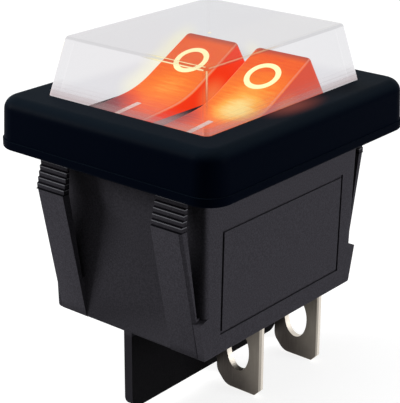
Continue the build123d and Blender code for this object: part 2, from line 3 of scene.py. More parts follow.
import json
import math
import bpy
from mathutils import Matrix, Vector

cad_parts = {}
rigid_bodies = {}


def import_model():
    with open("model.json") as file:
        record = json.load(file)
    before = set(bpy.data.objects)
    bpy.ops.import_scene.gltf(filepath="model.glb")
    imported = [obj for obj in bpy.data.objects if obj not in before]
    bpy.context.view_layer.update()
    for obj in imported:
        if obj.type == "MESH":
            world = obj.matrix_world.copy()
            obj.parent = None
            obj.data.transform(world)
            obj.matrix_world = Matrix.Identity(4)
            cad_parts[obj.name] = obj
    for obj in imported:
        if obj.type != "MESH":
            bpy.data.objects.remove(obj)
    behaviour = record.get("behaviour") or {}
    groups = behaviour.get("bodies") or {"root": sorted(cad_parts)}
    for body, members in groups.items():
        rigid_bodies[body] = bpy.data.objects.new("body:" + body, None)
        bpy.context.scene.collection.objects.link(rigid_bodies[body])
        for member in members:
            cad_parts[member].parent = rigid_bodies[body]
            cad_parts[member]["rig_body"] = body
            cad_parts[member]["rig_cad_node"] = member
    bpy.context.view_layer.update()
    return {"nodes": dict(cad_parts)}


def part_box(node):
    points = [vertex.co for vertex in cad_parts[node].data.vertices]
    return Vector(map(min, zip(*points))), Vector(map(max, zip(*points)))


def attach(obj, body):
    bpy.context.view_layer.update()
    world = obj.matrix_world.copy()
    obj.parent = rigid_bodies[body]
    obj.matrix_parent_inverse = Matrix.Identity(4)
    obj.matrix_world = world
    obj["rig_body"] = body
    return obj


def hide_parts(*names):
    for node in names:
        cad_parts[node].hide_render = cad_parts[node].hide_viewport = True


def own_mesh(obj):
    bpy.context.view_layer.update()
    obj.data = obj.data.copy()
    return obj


bl_info = {
    "name": "Panel rocker switch",
    "version": (1, 0, 0),
    "blender": (4, 5, 0),
    "location": "View3D > Sidebar > Switch",
    "description": "Dresses a twin rocker switch with a clear cover, piece by piece",
    "category": "Object",
}

import bpy
from mathutils import Matrix, Vector

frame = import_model()
MM = 0.001
SIDES = {"left": -1, "right": 1}
BLACK = (0.0, 0.0, 0.0)
WHITE = (1.0, 1.0, 1.0, 1.0)

# Places on the switch: millimetres in the shared frame
RIM_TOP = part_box("seal_frame")[1].z / MM
INSIDE_DOME = (0.0, 0.0, RIM_TOP + 1.5)
FLOOR_UNDERSIDE = -18.8
END_WALL_Y = 13.3
END_WALL_LEAN = 0.0176
TEETH_LOW = -3.9
TEETH_HIGH = -0.9
TOOTH_PITCH = (TEETH_HIGH - TEETH_LOW) / 5
BLADE_CENTRE_X = sum(c.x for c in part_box("right_center_terminal")) / 2 / MM
BLADE_CENTRE_Z = -24.5
LAMP_GLOW_Z = (-8.0, 1.0)

# Copies of nodes: angles in degrees, distances in millimetres
MERGE_DISTANCE = 0.0005
FLAT_ANGLE = 1.0
COIL_FLAT_ANGLE = 0.1
BEVEL_ANGLE = 35
SMOOTH_ANGLE = 30
BEVEL_SEGMENTS = 2

# Shared effects
PIT_DETAIL = (3.0, 0.6)
PIT_LEVELS = (0.3, 0.72)
DRIFT_SCALE = 0.12
PIT_SHARE = 0.6
STREAK_DETAIL = (4.0, 0.6)
ALONG_X = (0.15, 5.0, 5.0)
SHADE_LEVELS = (0.2, 0.8)
STREAK_LEVELS = (0.25, 0.75)
STREAK_DEPTH = 0.004
STREAK_BUMP = 0.5

# Housing: a line is its middle and half width, through one tooth or one slant
HOUSING_PIT_SCALE = 6.0
HOUSING_PIT_SHADES = (0.85, 1.3)
HOUSING_PIT_DEPTH = 0.02
HOUSING_BUMP = 0.6
HOUSING_ROUGHNESS = (0.55, 0.72)
END_WALL_STANDOFF = (0.25, 0.04)
END_WALL_FACING = (0.6, 0.9)
END_WALL_PAINTED_SHADE = (0.7,) * 3
TEETH_RUNOUT = 0.05
TEETH_STANDOFF = (1.5, 1.8)
TEETH_PAINTED_SHADE = (0.55,) * 3
GROOVE_LINE = (0.1, 0.22)
GROOVE_SHADOW_COLOUR = (0.002, 0.002, 0.003)
CREST_LINE = (0.88, 0.14)
CREST_HIGHLIGHT_COLOUR = (0.15, 0.15, 0.165)
BARRIER_START = 0.4
BARRIER_FACING = (0.4, 0.8)
BARRIER_PAINTED_SHADES = (0.5, 0.08)
BEZEL_GLOW_PLACE = (-0.6, -7.0, 3.5)
BEZEL_GLOW_RADII = (3.2, 5.5, 3.0)
BEZEL_GLOW_COLOUR = (0.34, 0.16, 0.16)

# Rim
RIM_PIT_SCALE = 2.0
RIM_PIT_DEPTH = 0.006
RIM_BUMP = 0.4
RIM_ROUGHNESS = (0.4, 0.52)
RIM_TOP_FACING = (0.2, 0.95)
RIM_GLOW_REACH = 2.3
RIM_GLOW_YZ = (0.2, 5.5)
RIM_GLOW_RADII = (2.4, 6.0, 2.5)
RIM_GLOW_COLOUR = (0.16, 0.035, 0.022)

# Clear dome: heights are over the rim's top
FAR_WALL_FACING = (0.5, -0.5)
DOME_EDGE_FLATNESS = (0.96, 0.85)
DOME_EDGE_FACING = (0.25, 0.45)
DOME_TOP_FACING = (0.85, 0.98)
FOOT_HEIGHT = 2.2
FOOT_BAND = (0.9, 0.3)
RIB_PITCH = 0.42
RIB_LINE = (0.5, 0.3)
RIB_SHADES = (0.75, 1.25)
GATE_PLACE = (1.2, -1.1, 11.75)
GATE_RADII = (0.3, 0.3, 0.3)
GATE_LEVELS = (0.1, 0.4)
GATE_DENSITY = 0.85
VINYL_DRIFT_SCALE = 0.6
VINYL_SHADES = ((0.008,) * 3, (0.02,) * 3)
WALL_COLOUR = (0.1, 0.1, 0.11)
FOOT_COLOUR = (0.5, 0.34, 0.34)
# Painted light on the dome's inner side: its pale glow, and pools of yellow light beside the left rocker
MILK_GLOW_HEIGHT = 1.5
MILK_GLOW_COLOURS = ((0.76, 0.76, 0.79), (0.83, 0.83, 0.85))
GLOW_POOL_COLOUR = (1.0, 0.98, 0.74)
GLOW_POOL_DENSITY = 0.7
GLOW_POOL_SPOTS = (((-9.3, 7.4, 7.4), (3.0, 3.4, 2.6)), ((-9.3, 5.2, 6.4), (3.0, 3.8, 3.0)),
              ((-9.3, 2.6, 5.0), (3.0, 3.8, 2.8)), ((-9.3, -0.4, 3.8), (3.0, 3.8, 2.4)),
              ((-2.9, 11.0, 6.0), (2.2, 3.0, 2.2)))

# Painted highlights: bright lines on the dome's near edges
LINE_FACING = (0.3, 0.15)
END_LINES = ((0.42, 0.22), (0.92, 0.1))
END_LINE_X = (0.5, 3.5)
SIDE_LINE = (0.72, 0.24)
SIDE_LINE_Y = (2.0, -2.0)
SIDE_LINE_DENSITY = 0.6
POST_HALF_WIDTH = 0.45
POST_FACING = (0.45, 0.3)
POST_HEIGHTS = (1.5, 5.5)
POST_DENSITIES = (0.08, 0.9)
HIGHLIGHT_WARMS_X = (9.0, 10.0)
HIGHLIGHT_COLOURS = ((1.0, 0.86, 0.42), (1.0, 0.42, 0.22))

# Rockers: painted glow on each lens; each spot is its place from the rocker's middle, its radii and the
# heat it adds, where heat is the glow's brightness and less heat is painted shade
BASE_HEAT = 0.62
ROCKER_SPOTS = {
    "left": (((0.4, -0.8, 4.6), (6.5, 5.5, 7.0), 0.17),
             ((-4.4, -7.8, 3.8), (6.0, 6.5, 6.0), -0.56),
             ((0.0, -11.5, 3.5), (12.0, 6.5, 5.0), -0.36)),
    "right": (((0.5, 0.6, 5.0), (7.5, 6.0, 7.0), 0.21),
              ((0.6, -2.6, 4.3), (4.4, 4.2, 6.0), 0.3),
              ((-4.2, -6.2, 4.0), (4.6, 4.8, 6.0), -0.36)),
}
HEAT_COLOURS = (
    (0.0, (0.07, 0.02, 0.03)), (0.25, (0.27, 0.035, 0.045)), (0.45, (0.66, 0.07, 0.035)),
    (0.6, (0.88, 0.12, 0.03)), (0.75, (0.97, 0.22, 0.03)), (0.88, (0.97, 0.46, 0.08)),
    (1.0, (0.97, 0.74, 0.27)))
HEAT_STREAK_STRETCH = (0.5, 3.0, 3.0)
HEAT_STREAKS = 0.2
FAR_EDGE_Y = (5.9, 7.0)
FAR_EDGE_DENSITY = 0.85
FAR_EDGE_SHADE_COLOUR = (0.34, 0.08, 0.07)
CHEEK_FACING = (0.8, 0.95)
CHEEK_GLOW_COLOURS = {"left": (0.92, 0.04, 0.008), "right": (0.68, 0.085, 0.045)}
CHEEK_SPOT = ((3.65, 2.6, 3.6), (3.0, 3.4, 2.6), 0.75)
CHEEK_SPOT_COLOUR = (0.93, 0.24, 0.07)
ROCKER_HIGHLIGHT_LINE = (0.6, 0.3)
ROCKER_HIGHLIGHT_DENSITY = 0.6
ROCKER_HIGHLIGHT_COLOUR = (0.9, 0.33, 0.24)
MARKS_PART_Y = (-2.0, 0.0)
BAR_MARK_COLOUR = (0.6, 0.36, 0.33)
RING_MARK_COLOUR = (0.95, 0.84, 0.4)

# Blades
ALONG_Z = (5.0, 5.0, 0.35)
BLADE_DRIFT_SCALE = 0.5
SHEEN_FALL = (0.15, 0.09)
SHEEN_LEVELS = (-0.5, 0.6)
SHEEN_DRIFT = 0.5
SHEEN_COLOURS = ((0.034, 0.029, 0.026), (0.19, 0.17, 0.145))
BLADE_STREAKS = (0.3, 0.8, 0.0, 0.3)
BLADE_STREAK_COLOUR = (0.12, 0.105, 0.09)
CUT_FACING = (0.85, 0.5)
CUT_COLOUR = (0.66, 0.61, 0.54)
BLADE_ROUGHNESS = (0.34, 0.48)

# Inner works
MOULDING_DARK = 0.75
MOULDING_ROUGHNESS_SPREAD = 0.08
MOULDING_DEPTH = 0.01
MOULDING_BUMP = 0.5
METAL_DARK = 0.8
METAL_ROUGHNESS_SPREAD = (0.07, 0.1)
LAMP_COLOURS = ((0.0, (0.9, 0.2, 0.05)), (0.5, (1.0, 0.6, 0.2)), (1.0, (1.0, 0.8, 0.5)))
LAMP_GLOW = 2.0

# Stage: each lamp's place, aim and size in millimetres, and the floor's size in metres
PHOTO_WIDTH = 400
SENSOR = 36.0
CLIP_START = 0.005
CLIP_END = 20.0
LAMPS = {"key": ((-250, -170, 110), (0, 0, -8), 110), "side": ((280, 90, 40), (0, 0, -8), 120),
         "top": ((0, 0, 300), (0, 0, 0), 160)}
FLOOR_SIZE = 2.0
FLOOR_GAP = 0.05
FLOOR_GRAIN_SCALE = 0.05
FLOOR_SHADES = ((0.26,) * 3, (0.3,) * 3)
FLOOR_LIFT = 0.85


def pick(sockets, name, kind):
    """The socket of one type, where a node has several of the same name."""
    return next(s for s in sockets if s.name == name and s.type == kind)


class Wiring:
    """Adds nodes to one tree and joins them, so that a material reads as a formula."""

    def __init__(self, tree):
        self.tree = tree

    def feed(self, socket, value):
        """Joins a socket to an output, or sets it to a constant."""
        if isinstance(value, bpy.types.NodeSocket):
            self.tree.links.new(value, socket)
        elif value is not None:
            socket.default_value = value

    def node(self, kind, inputs=None, **settings):
        made = self.tree.nodes.new(kind)
        for name, value in settings.items():
            setattr(made, name, value)
        for name, value in (inputs or {}).items():
            self.feed(made.inputs[name], value)
        return made

    def math(self, operation, *values, clamp=False):
        made = self.node("ShaderNodeMath", operation=operation, use_clamp=clamp)
        for socket, value in zip(made.inputs, values):
            self.feed(socket, value)
        return made.outputs[0]

    def plus(self, first, second, clamp=False):
        return self.math("ADD", first, second, clamp=clamp)

    def minus(self, first, second):
        return self.math("SUBTRACT", first, second)

    def times(self, first, second, clamp=False):
        return self.math("MULTIPLY", first, second, clamp=clamp)

    def most(self, first, second, clamp=False):
        return self.math("MAXIMUM", first, second, clamp=clamp)

    def through(self, value, pitch):
        """How far a value is through its present pitch, from 0 to 1."""
        return self.math("FRACT", self.math("DIVIDE", value, pitch))

    def vector(self, operation, *values):
        made = self.node("ShaderNodeVectorMath", operation=operation)
        for socket, value in zip(made.inputs, values):
            self.feed(socket, value)
        return made.outputs["Value" if operation in ("LENGTH", "DOT_PRODUCT") else "Vector"]

    def parts(self, vector):
        return self.node("ShaderNodeSeparateXYZ", {"Vector": vector}).outputs

    def normal(self):
        return self.node("ShaderNodeNewGeometry").outputs["Normal"]

    def slants(self):
        """How far the surface faces along X, Y and Z, either way."""
        return self.parts(self.vector("ABSOLUTE", self.normal()))

    def step(self, value, low, high, to_low=0.0, to_high=1.0):
        """A smooth step from one value to another."""
        made = self.node("ShaderNodeMapRange", {
            "Value": value, "From Min": low, "From Max": high, "To Min": to_low, "To Max": to_high},
            interpolation_type="SMOOTHSTEP", clamp=True)
        return made.outputs["Result"]

    def line(self, value, centre, half_width):
        """1 where a value is at its centre, falling softly to 0 at the half width."""
        away = self.math("ABSOLUTE", self.minus(value, centre))
        return self.step(away, 0.0, half_width, 1.0, 0.0)

    def ramp(self, value, stops):
        made = self.node("ShaderNodeValToRGB", {"Fac": value})
        band = made.color_ramp
        while len(band.elements) < len(stops):
            band.elements.new(1.0)
        for element, (place, colour) in zip(band.elements, stops):
            element.position = place
            element.color = (*colour, 1.0)
        return made.outputs["Color"]

    def mix(self, factor, first, second, blend="MIX"):
        """A colour that goes from one to another with a factor."""
        made = self.node("ShaderNodeMix", data_type="RGBA", blend_type=blend)
        self.feed(made.inputs["Factor"], factor)
        for name, value in (("A", first), ("B", second)):
            joined = isinstance(value, bpy.types.NodeSocket)
            self.feed(pick(made.inputs, name, "RGBA"), value if joined else (*value, 1.0))
        return pick(made.outputs, "Result", "RGBA")

    def blend(self, factor, first, second):
        """A number that goes from one value to another with a factor."""
        made = self.node("ShaderNodeMix", {"Factor": factor}, data_type="FLOAT")
        for name, value in (("A", first), ("B", second)):
            self.feed(pick(made.inputs, name, "VALUE"), value)
        return pick(made.outputs, "Result", "VALUE")

    def noise(self, vector, scale, detail=2.0, roughness=0.5):
        made = self.node("ShaderNodeTexNoise", {
            "Vector": vector, "Scale": scale, "Detail": detail, "Roughness": roughness})
        return made.outputs["Fac"]

    def group(self, name, inputs):
        made = self.node("ShaderNodeGroup", node_tree=bpy.data.node_groups[name])
        for key, value in inputs.items():
            self.feed(made.inputs[key], value)
        return made.outputs

    def grain(self, place, scale):
        return self.group("Moulded grain", {"Place": place, "Scale": scale})

    def streak(self, place, stretch):
        return self.group("Streaks", {"Place": place, "Stretch": stretch})["Streak"]

    def spot(self, place, centre, radii):
        return self.group("Soft spot", {"Place": place, "Centre": centre, "Radii": radii})["Spot"]

    def bump(self, height, depth_mm, strength):
        made = self.node("ShaderNodeBump", {
            "Strength": strength, "Distance": depth_mm * MM, "Height": height})
        return made.outputs["Normal"]

    def place(self):
        """A point's place in the shared frame, in millimetres."""
        coordinates = self.node("ShaderNodeTexCoord").outputs["Object"]
        return self.vector("MULTIPLY", coordinates, (1 / MM,) * 3)


def shade(colour, factor):
    return tuple(c * factor for c in colour)


def new_group(name, inputs, outputs):
    """An empty shader node group with named sockets."""
    tree = bpy.data.node_groups.new(name, "ShaderNodeTree")
    for label, kind, value in inputs:
        socket = tree.interface.new_socket(label, in_out="INPUT", socket_type=kind)
        if value is not None:
            socket.default_value = value
    for label in outputs:
        tree.interface.new_socket(label, in_out="OUTPUT", socket_type="NodeSocketFloat")
    wiring = Wiring(tree)
    return wiring, wiring.node("NodeGroupInput").outputs, wiring.node("NodeGroupOutput").inputs


def build_grain_group():
    """Moulded grain: a fine pitted height and a slow drift of shade."""
    wiring, given, out = new_group(
        "Moulded grain",
        [("Place", "NodeSocketVector", None), ("Scale", "NodeSocketFloat", 4.0)],
        ["Height", "Shade"])
    fine = wiring.noise(given["Place"], given["Scale"], *PIT_DETAIL)
    drift = wiring.noise(given["Place"], DRIFT_SCALE)
    wiring.feed(out["Height"], wiring.step(fine, *PIT_LEVELS))
    mixed = wiring.plus(wiring.times(fine, PIT_SHARE), wiring.times(drift, 1 - PIT_SHARE))
    wiring.feed(out["Shade"], mixed)


def build_streak_group():
    """Fine streaks along one way: rolled metal, or the flow lines of a clear moulding."""
    wiring, given, out = new_group(
        "Streaks",
        [("Place", "NodeSocketVector", None), ("Stretch", "NodeSocketVector", ALONG_X)],
        ["Streak"])
    stretched = wiring.vector("MULTIPLY", given["Place"], given["Stretch"])
    wiring.feed(out["Streak"], wiring.noise(stretched, 1.0, *STREAK_DETAIL))


def build_spot_group():
    """A soft round spot: 1 at its centre and 0 at its radii."""
    wiring, given, out = new_group(
        "Soft spot",
        [("Place", "NodeSocketVector", None), ("Centre", "NodeSocketVector", None),
         ("Radii", "NodeSocketVector", (1.0, 1.0, 1.0))],
        ["Spot"])
    offset = wiring.vector("SUBTRACT", given["Place"], given["Centre"])
    distance = wiring.vector("LENGTH", wiring.vector("DIVIDE", offset, given["Radii"]))
    wiring.feed(out["Spot"], wiring.step(distance, 0.0, 1.0, 1.0, 0.0))


def new_material(name, **constants):
    """A material with one Principled shader, whose plain values are given."""
    material = bpy.data.materials.new(name)
    material.use_nodes = True
    shader = material.node_tree.nodes["Principled BSDF"]
    for key, value in constants.items():
        shader.inputs[key.replace("_", " ")].default_value = value
    return material, Wiring(material.node_tree), shader.inputs


def light_up(wiring, shader, colour, strength=1.0):
    """Gives a finish the light that leaves it."""
    wiring.feed(shader["Emission Color"], colour)
    shader["Emission Strength"].default_value = strength


def housing_nylon(look):
    """Charcoal nylon with a spark-eroded surface; painted shade darkens its end walls, its wings' teeth
    and the barrier under the floor.
    """
    material, wiring, shader = new_material("housing_nylon", Specular_IOR_Level=0.015)
    place = wiring.place()
    spot = wiring.parts(place)
    slant = wiring.slants()
    height = wiring.grain(place, HOUSING_PIT_SCALE)["Height"]
    pits = wiring.step(height, 0.0, 1.0)
    colour = wiring.mix(pits, *(shade(look.housing_colour, s) for s in HOUSING_PIT_SHADES))
    wall_y = wiring.plus(END_WALL_Y, wiring.times(spot["Z"], END_WALL_LEAN))
    standoff = wiring.minus(wiring.math("ABSOLUTE", spot["Y"]), wall_y)
    end_wall = wiring.times(wiring.step(standoff, *END_WALL_STANDOFF),
                            wiring.step(slant["Y"], *END_WALL_FACING))
    # Painted shade: the end walls between the wings are darkened
    colour = wiring.mix(end_wall, colour, END_WALL_PAINTED_SHADE, "MULTIPLY")
    colour = wing_teeth(wiring, colour, spot["Z"], standoff)
    # Painted shade: under the floor the barrier is painted darker, darkest on its sides that face along X
    below = wiring.step(spot["Z"], FLOOR_UNDERSIDE, FLOOR_UNDERSIDE - BARRIER_START)
    barrier = wiring.mix(wiring.step(slant["X"], *BARRIER_FACING),
                         *(shade(look.housing_colour, s) for s in BARRIER_PAINTED_SHADES))
    wiring.feed(shader["Base Color"], wiring.mix(below, colour, barrier))
    # Painted glow: the rockers' red light on the bezel, given off by the housing itself
    lit = wiring.spot(place, BEZEL_GLOW_PLACE, BEZEL_GLOW_RADII)
    light_up(wiring, shader, wiring.mix(lit, BLACK, BEZEL_GLOW_COLOUR))
    wiring.feed(shader["Roughness"], wiring.step(height, 0.0, 1.0, *HOUSING_ROUGHNESS))
    wiring.feed(shader["Normal"], wiring.bump(height, HOUSING_PIT_DEPTH, HOUSING_BUMP))
    return material


def wing_teeth(wiring, colour, height, standoff):
    """Paints shade on the wings' toothed tops: darker teeth, a painted shadow in each groove and a
    painted highlight on each crest.
    """
    above = wiring.step(height, TEETH_LOW - TEETH_RUNOUT, TEETH_LOW)
    teeth = wiring.times(above, wiring.step(standoff, *TEETH_STANDOFF))
    tooth = wiring.through(wiring.minus(height, TEETH_LOW), TOOTH_PITCH)
    # Painted shade darkens the teeth, with a painted shadow in each groove and a painted highlight on
    # each crest
    colour = wiring.mix(teeth, colour, TEETH_PAINTED_SHADE, "MULTIPLY")
    groove_shadow = wiring.times(teeth, wiring.line(tooth, *GROOVE_LINE))
    colour = wiring.mix(groove_shadow, colour, GROOVE_SHADOW_COLOUR)
    crest_highlight = wiring.times(teeth, wiring.line(tooth, *CREST_LINE))
    return wiring.mix(crest_highlight, colour, CREST_HIGHLIGHT_COLOUR)


def seal_rubber(look):
    """Satin black rubber with a faint blue cast; its top is painted lighter than its sides, and a painted
    glow of the lit rockers warms its top.
    """
    material, wiring, shader = new_material("seal_rubber", Specular_IOR_Level=0.004)
    place = wiring.place()
    grain = wiring.grain(place, RIM_PIT_SCALE)
    top = wiring.step(wiring.parts(wiring.normal())["Z"], *RIM_TOP_FACING)
    # Painted light and shade: the rim's top takes a lighter colour than its sides
    wiring.feed(shader["Base Color"], wiring.mix(top, look.rim_side_shaded_colour, look.rim_top_lit_colour))
    wiring.feed(shader["Roughness"], wiring.step(grain["Shade"], *SHADE_LEVELS, *RIM_ROUGHNESS))
    wiring.feed(shader["Normal"], wiring.bump(grain["Height"], RIM_PIT_DEPTH, RIM_BUMP))
    # Painted glow: the lit rockers' red light on the rim's top, given off by the rubber itself
    glow = 0.0
    for side in SIDES.values():
        centre = (side * look.rocker_centre_x * RIM_GLOW_REACH, *RIM_GLOW_YZ)
        glow = wiring.plus(glow, wiring.spot(place, centre, RIM_GLOW_RADII))
    light_up(wiring, shader, wiring.mix(wiring.times(glow, top), BLACK, RIM_GLOW_COLOUR))
    return material


def clear_vinyl(look):
    """Clear vinyl: see-through where it faces out, milky where its inner side is seen across the dome;
    that inner side glows with painted light, and its near edges carry painted highlights.
    """
    material, wiring, shader = new_material("clear_vinyl", Roughness=0.3, Specular_IOR_Level=0.05)
    material.use_backface_culling = True
    geometry = wiring.node("ShaderNodeNewGeometry").outputs
    rays = wiring.node("ShaderNodeLightPath").outputs
    place = wiring.place()
    spot = wiring.parts(place)
    normal = wiring.parts(geometry["Normal"])
    slant = wiring.slants()
    outward = wiring.vector("DOT_PRODUCT", geometry["Normal"],
                            wiring.vector("SUBTRACT", place, INSIDE_DOME))
    inner = wiring.step(outward, *FAR_WALL_FACING)
    veil = dome_veil(wiring, look, normal, slant)
    foot = dome_foot(wiring, look, spot["Z"])
    lines = dome_lines(wiring, spot, normal, slant)
    gate = wiring.step(wiring.spot(place, GATE_PLACE, GATE_RADII), *GATE_LEVELS)
    lines = wiring.most(lines, wiring.times(gate, GATE_DENSITY))
    seen = wiring.most(wiring.plus(veil, foot), lines)
    seen = wiring.times(seen, wiring.minus(1.0, geometry["Backfacing"]))
    unlit = wiring.most(rays["Is Shadow Ray"], rays["Is Diffuse Ray"])
    alpha = wiring.blend(inner, seen, look.milk)
    wiring.feed(shader["Alpha"], wiring.times(alpha, wiring.minus(1.0, unlit), clamp=True))
    inner_colour = wiring.mix(wiring.grain(place, VINYL_DRIFT_SCALE)["Shade"], *VINYL_SHADES)
    foot_share = wiring.math("DIVIDE", foot, wiring.plus(foot, veil))
    outer_colour = wiring.mix(foot_share, WALL_COLOUR, FOOT_COLOUR)
    wiring.feed(shader["Base Color"], wiring.mix(inner, outer_colour, inner_colour))
    # Painted highlights: the edge lines, with the gate mark among them, glow warm, redder towards the +X
    # end
    highlight = wiring.mix(wiring.step(spot["X"], *HIGHLIGHT_WARMS_X), *HIGHLIGHT_COLOURS)
    highlight = wiring.mix(lines, BLACK, highlight)
    # Painted light: the far walls' inner side glows pale, and the near edges glow as painted highlights
    light_up(wiring, shader, wiring.mix(inner, highlight, dome_milk_glow(wiring, place, spot["Z"])))
    return material


def dome_veil(wiring, look, normal, slant):
    """How dense the dome's near side is: little on its walls, more on its top and rounded edge."""
    flat = wiring.most(wiring.most(slant["X"], slant["Y"]), slant["Z"])
    edge = wiring.times(wiring.step(flat, *DOME_EDGE_FLATNESS),
                        wiring.step(normal["Z"], *DOME_EDGE_FACING))
    top = wiring.step(normal["Z"], *DOME_TOP_FACING)
    veil = wiring.plus(wiring.times(edge, look.edge_veil), wiring.times(top, look.top_veil))
    return wiring.plus(veil, look.dome_veil)


def dome_foot(wiring, look, height):
    """The milky, faintly ribbed band where the dome's walls meet the rim."""
    foot = wiring.step(height, RIM_TOP + FOOT_HEIGHT, RIM_TOP, 0.0, look.foot_veil)
    ribs = wiring.line(wiring.through(height, RIB_PITCH), *RIB_LINE)
    foot = wiring.times(foot, wiring.blend(ribs, *RIB_SHADES))
    high, low = FOOT_BAND
    return wiring.plus(foot, wiring.step(height, RIM_TOP + high, RIM_TOP + low, 0.0, look.foot_veil))


def dome_milk_glow(wiring, place, height):
    """Painted light on the inner side of the dome's far walls: a pale glow, lighter higher up, with a
    painted pool of yellow light beside the left rocker.
    """
    glow_pool = 0.0
    for centre, radii in GLOW_POOL_SPOTS:
        glow_pool = wiring.plus(glow_pool, wiring.spot(place, centre, radii), clamp=True)
    milk = wiring.mix(wiring.step(height, RIM_TOP, RIM_TOP + MILK_GLOW_HEIGHT), *MILK_GLOW_COLOURS)
    return wiring.mix(wiring.times(glow_pool, GLOW_POOL_DENSITY), milk, GLOW_POOL_COLOUR)


def dome_lines(wiring, spot, normal, slant):
    """Painted highlights: the fine bright lines where the dome's near edges catch the lamps' light."""
    along_end = wiring.times(wiring.step(slant["X"], *LINE_FACING),
                             wiring.step(spot["X"], *END_LINE_X))
    upper, lower = (wiring.line(normal["Z"], *line) for line in END_LINES)
    end_edge = wiring.times(wiring.plus(upper, lower), along_end)
    along_side = wiring.times(wiring.step(slant["Y"], *LINE_FACING),
                              wiring.step(spot["Y"], *SIDE_LINE_Y))
    side_edge = wiring.times(wiring.line(normal["Z"], *SIDE_LINE), along_side)
    post = wiring.line(wiring.minus(slant["X"], slant["Y"]), 0.0, POST_HALF_WIDTH)
    post = wiring.times(post, wiring.step(normal["Z"], *POST_FACING))
    rise = (RIM_TOP + height for height in POST_HEIGHTS)
    post = wiring.times(post, wiring.step(spot["Z"], *rise, *POST_DENSITIES))
    edges = wiring.most(end_edge, wiring.times(side_edge, SIDE_LINE_DENSITY))
    return wiring.most(edges, post, clamp=True)


def red_lens(look, side):
    """Translucent red lens lit from inside: a painted glow, hottest over the lamp's light, with painted
    shade on its far edge, its own painted glow on the sides and a painted highlight along its rounded
    edges.
    """
    material, wiring, shader = new_material(
        f"{side}_red_lens", Roughness=0.3, Specular_IOR_Level=0.06, Base_Color=(0.06, 0.004, 0.002, 1.0))
    place = wiring.place()
    spot = wiring.parts(place)
    slant = wiring.slants()
    middle_x = SIDES[side] * look.rocker_centre_x
    # Painted glow: spots of light, and of painted shade where the heat falls, laid on the lens
    heat = BASE_HEAT
    for (x, y, z), radii, gain in ROCKER_SPOTS[side]:
        found = wiring.spot(place, (middle_x + x, y, z), radii)
        heat = wiring.plus(heat, wiring.times(found, gain))
    streak = wiring.minus(wiring.streak(place, HEAT_STREAK_STRETCH), 0.5)
    glow = wiring.ramp(wiring.plus(heat, wiring.times(streak, HEAT_STREAKS)), HEAT_COLOURS)
    # Painted shade on the far top edge
    far_edge = wiring.step(spot["Y"], *FAR_EDGE_Y, 0.0, FAR_EDGE_DENSITY)
    glow = wiring.mix(far_edge, glow, FAR_EDGE_SHADE_COLOUR)
    # Painted light: the sides facing along X take their own glow, with a painted spot of light
    (x, y, z), radii, density = CHEEK_SPOT
    warm = wiring.times(wiring.spot(place, (middle_x + x, y, z), radii), density)
    cheek = wiring.mix(warm, CHEEK_GLOW_COLOURS[side], CHEEK_SPOT_COLOUR)
    glow = wiring.mix(wiring.step(slant["X"], *CHEEK_FACING), glow, cheek)
    # Painted highlight along the rounded edges
    edge = wiring.times(wiring.line(slant["X"], *ROCKER_HIGHLIGHT_LINE), ROCKER_HIGHLIGHT_DENSITY)
    light_up(wiring, shader, wiring.mix(edge, glow, ROCKER_HIGHLIGHT_COLOUR), look.rocker_glow)
    return material


def mark_ink(look):
    """Pale inlay that passes the lamp's light: bright on the O, milky on the I."""
    material, wiring, shader = new_material(
        "mark_ink", Roughness=0.4, Specular_IOR_Level=0.2, Base_Color=(0.2, 0.19, 0.16, 1.0))
    ring = wiring.step(wiring.parts(wiring.place())["Y"], *MARKS_PART_Y)
    light_up(wiring, shader, wiring.mix(ring, BAR_MARK_COLOUR, RING_MARK_COLOUR), look.mark_glow)
    return material


def tab_plating():
    """Dull brown-grey plating on the blades' faces, with a painted sheen and bright cut edges."""
    material, wiring, shader = new_material("tinned_brass", Metallic=1.0)
    place = wiring.place()
    spot = wiring.parts(place)
    streak = wiring.streak(place, ALONG_Z)
    drift = wiring.grain(place, BLADE_DRIFT_SCALE)["Shade"]
    # Painted sheen: the faces are painted brighter outwards and higher up, with a random drift
    across = wiring.minus(wiring.math("ABSOLUTE", spot["X"]), BLADE_CENTRE_X)
    up = wiring.minus(spot["Z"], BLADE_CENTRE_Z)
    fall = wiring.plus(wiring.times(across, SHEEN_FALL[0]), wiring.times(up, SHEEN_FALL[1]))
    drift = wiring.times(wiring.minus(drift, 0.5), SHEEN_DRIFT)
    sheen = wiring.plus(wiring.step(fall, *SHEEN_LEVELS), drift, clamp=True)
    face = wiring.mix(sheen, *SHEEN_COLOURS)
    face = wiring.mix(wiring.step(streak, *BLADE_STREAKS), face, BLADE_STREAK_COLOUR)
    cut = wiring.step(wiring.slants()["Y"], *CUT_FACING)
    wiring.feed(shader["Base Color"], wiring.mix(cut, face, CUT_COLOUR))
    wiring.feed(shader["Roughness"], wiring.step(streak, *STREAK_LEVELS, *BLADE_ROUGHNESS))
    wiring.feed(shader["Normal"], wiring.bump(streak, STREAK_DEPTH, STREAK_BUMP))
    return material


def plain_moulding(name, colour, roughness, scale=4.0):
    """An inner moulding or board: one colour with grain, drift and a fine bump."""
    material, wiring, shader = new_material(name)
    grain = wiring.grain(wiring.place(), scale)
    wiring.feed(shader["Base Color"], wiring.mix(grain["Shade"], shade(colour, MOULDING_DARK), colour))
    wiring.feed(shader["Roughness"], wiring.step(
        grain["Shade"], *SHADE_LEVELS,
        roughness - MOULDING_ROUGHNESS_SPREAD, roughness + MOULDING_ROUGHNESS_SPREAD))
    wiring.feed(shader["Normal"], wiring.bump(grain["Height"], MOULDING_DEPTH, MOULDING_BUMP))
    return material


